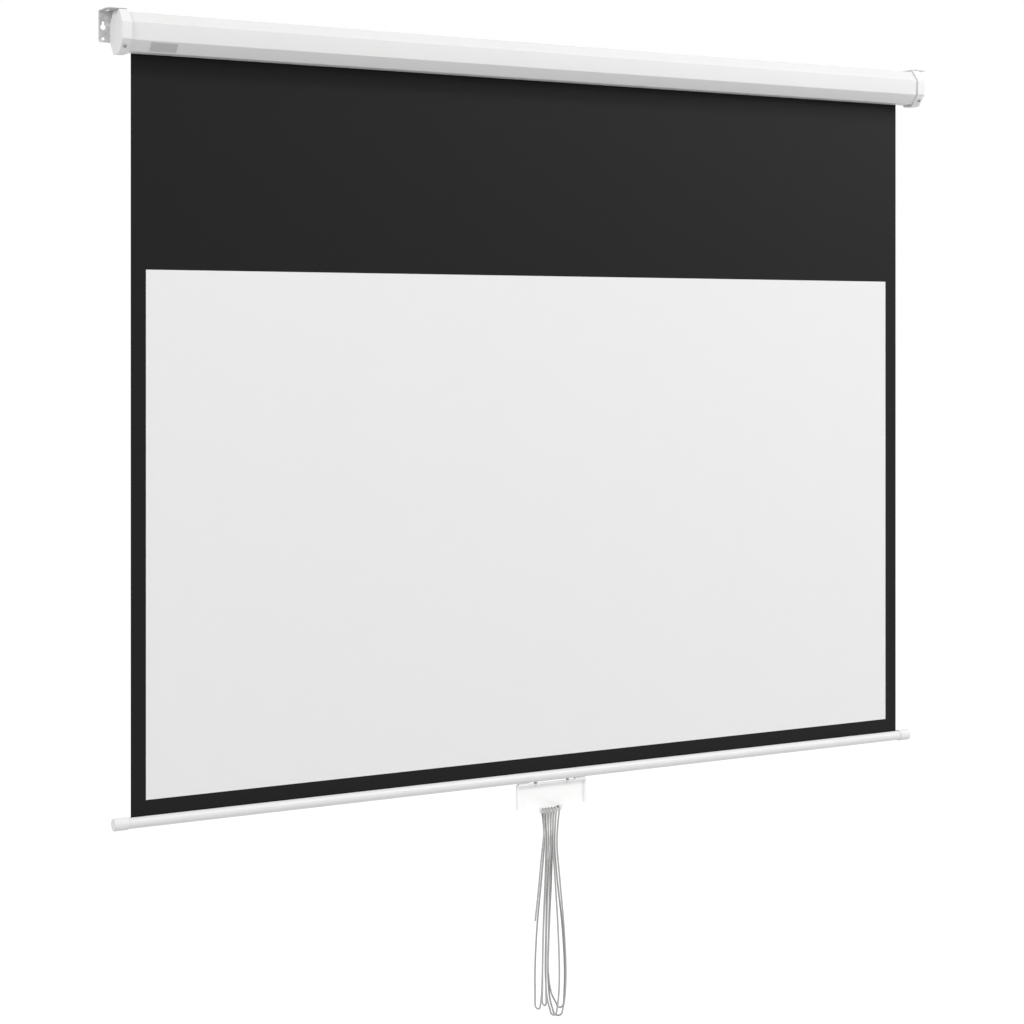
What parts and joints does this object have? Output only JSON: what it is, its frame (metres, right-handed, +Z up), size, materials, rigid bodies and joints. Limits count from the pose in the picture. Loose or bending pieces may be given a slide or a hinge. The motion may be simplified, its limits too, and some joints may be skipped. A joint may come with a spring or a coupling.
{
  "type": "manual projection screen",
  "caption": "Pull-down projection screen: eight-sided white case, black-bordered cloth on a spring roller, round weight bar, pull handle and cord hung in a hank.",
  "frame": {"origin": "the wall plane, at the middle of the line between the seats of the two bracket keyholes", "axes": "+X to the viewer's right along the case, +Y into the wall, +Z up; the picture faces -Y"},
  "size_m": [2.045, 0.0748, 2.1248],
  "materials": {
    "case_paint": "satin white powder coat",
    "cap_plastic": "fine-grained white moulding",
    "handle_plastic": "smooth white moulding",
    "bracket_steel": "zinc-plated folded sheet",
    "screw_steel": "dark zinc",
    "label_foil": "blank light grey plate",
    "roller_aluminium": "drawn tube",
    "spindle_steel": "bright zinc",
    "spring_steel": "oiled spring steel",
    "plug_plastic": "grey moulding",
    "black_cloth": "matt black coated cloth",
    "white_cloth": "matt white picture surface",
    "cord_yarn": "grey braided cord"
  },
  "bodies": {
    "case": {"case_shell": "case_paint", "end_cap_left": "cap_plastic", "end_cap_right": "cap_plastic", "cap_screw_left": "screw_steel", "cap_screw_right": "screw_steel", "bracket_top_screw_left": "bracket_steel", "bracket_top_screw_right": "bracket_steel", "bracket_back_screw_left": "bracket_steel", "bracket_back_screw_right": "bracket_steel", "wall_bracket_left": "bracket_steel", "wall_bracket_right": "bracket_steel", "label_plate": "label_foil", "spring_spindle": "spindle_steel", "ratchet_wheel": "spring_steel", "idle_bush": "plug_plastic"},
    "roller": {"roller_tube": "roller_aluminium", "cloth_wrap": "black_cloth", "spring_end_plug": "plug_plastic", "idle_end_plug": "plug_plastic", "spring_anchor": "plug_plastic", "torsion_spring": "spring_steel", "idle_pin": "spindle_steel", "pawl_pin_a": "spindle_steel", "pawl_pin_b": "spindle_steel"},
    "pawl_a": {"pawl_a": "spring_steel"},
    "pawl_b": {"pawl_b": "spring_steel"},
    "bar": {"screen_cloth": "black_cloth", "picture_surface": "white_cloth", "hem_border": "black_cloth", "hem_rod": "spindle_steel", "weight_bar": "case_paint", "bar_cap_left": "cap_plastic", "bar_cap_right": "cap_plastic", "pull_handle": "handle_plastic", "handle_screw_left": "screw_steel", "handle_screw_right": "screw_steel", "handle_spacer_left": "screw_steel", "handle_spacer_right": "screw_steel", "cord_hank": "cord_yarn", "cord_tail": "cord_yarn", "cord_knot": "cord_yarn"}
  },
  "joints": [
    {"name": "screen_drop", "type": "slide", "parent": "case", "child": "bar", "axis": [0, 0, 1], "range_m": [0, 1.493], "deforming": ["screen_cloth", "picture_surface"]},
    {"name": "roller_spin", "type": "hinge", "parent": "case", "child": "roller", "pos_m": [0, -0.0383, -0.0215], "axis": [1, 0, 0], "range_deg": [0, 3420]},
    {"name": "pawl_a_swing", "type": "hinge", "parent": "roller", "child": "pawl_a", "pos_m": [-0.983, -0.0333, -0.0041], "axis": [1, 0, 0], "range_deg": [0, 15]},
    {"name": "pawl_b_swing", "type": "hinge", "parent": "roller", "child": "pawl_b", "pos_m": [-0.983, -0.0433, -0.0389], "axis": [1, 0, 0], "range_deg": [0, 15]}
  ],
  "couplings": [
    {"joint": "roller_spin", "follows": "screen_drop", "rad_per_m": 39.98}
  ]
}
